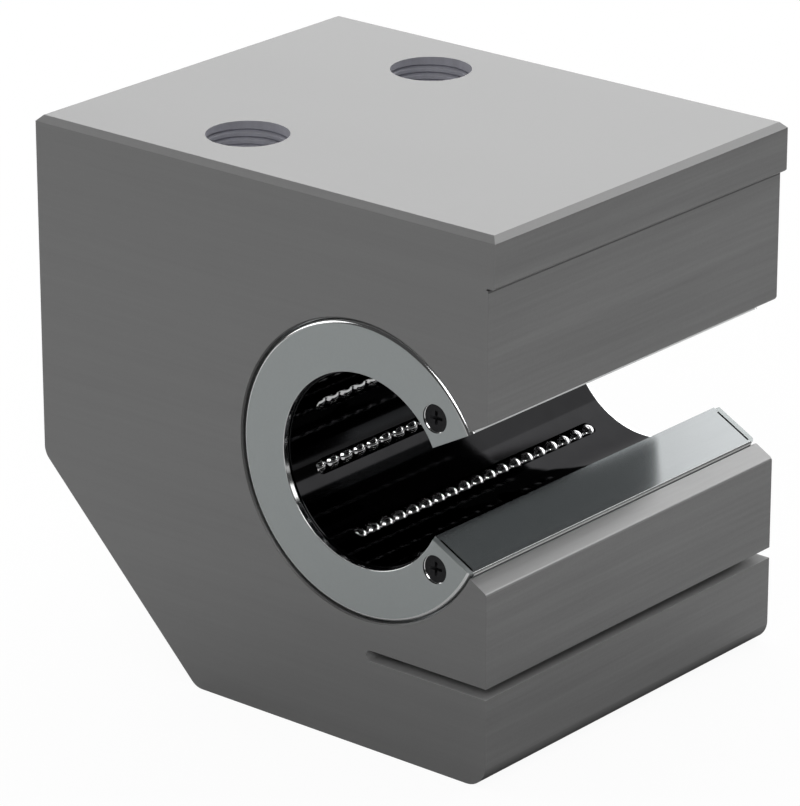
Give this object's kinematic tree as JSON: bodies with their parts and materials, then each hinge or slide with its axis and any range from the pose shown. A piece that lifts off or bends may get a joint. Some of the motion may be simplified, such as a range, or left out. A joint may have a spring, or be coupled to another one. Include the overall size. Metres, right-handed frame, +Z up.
{
  "type": "linear bearing block",
  "caption": "Machined block with a side-opening recirculating ball bearing that carries a table along a side-supported shaft, with a clamping slit to set the clearance.",
  "frame": {"origin": "on the shaft's axis, midway along the block's length", "axes": "+X towards the open side and the reference strip, Y along the shaft, +Z up towards the mounting face"},
  "size_m": [0.0764, 0.06, 0.0733],
  "materials": {
    "housing_aluminium": "fine-milled, satin",
    "bearing_steel": "ground and polished",
    "ring_steel": "satin",
    "cage_polymer": "smooth glossy black",
    "ball_chrome": "mirror",
    "black_oxide_steel": "black oxide, satin"
  },
  "bodies": {
    "block": {"housing": "housing_aluminium", "bearing_sleeve": "bearing_steel", "ball_cage": "cage_polymer", "end_ring_front": "ring_steel", "end_ring_rear": "ring_steel", "ring_screws_front": "black_oxide_steel", "ring_screws_rear": "black_oxide_steel", "locating_screw": "black_oxide_steel", "load_balls_1": "ball_chrome", "load_balls_2": "ball_chrome", "load_balls_3": "ball_chrome", "load_balls_4": "ball_chrome", "load_balls_5": "ball_chrome", "load_balls_6": "ball_chrome", "return_balls_1": "ball_chrome", "return_balls_2": "ball_chrome", "return_balls_3": "ball_chrome", "return_balls_4": "ball_chrome", "return_balls_5": "ball_chrome", "return_balls_6": "ball_chrome"},
    "adjuster": {"adjusting_screw": "black_oxide_steel"}
  },
  "joints": [
    {"name": "adjusting_screw_turn", "type": "hinge", "parent": "block", "child": "adjuster", "pos_m": [0.012, 0, -0.0305], "axis": [0, 0, 1], "range_deg": [-360, 0]}
  ]
}
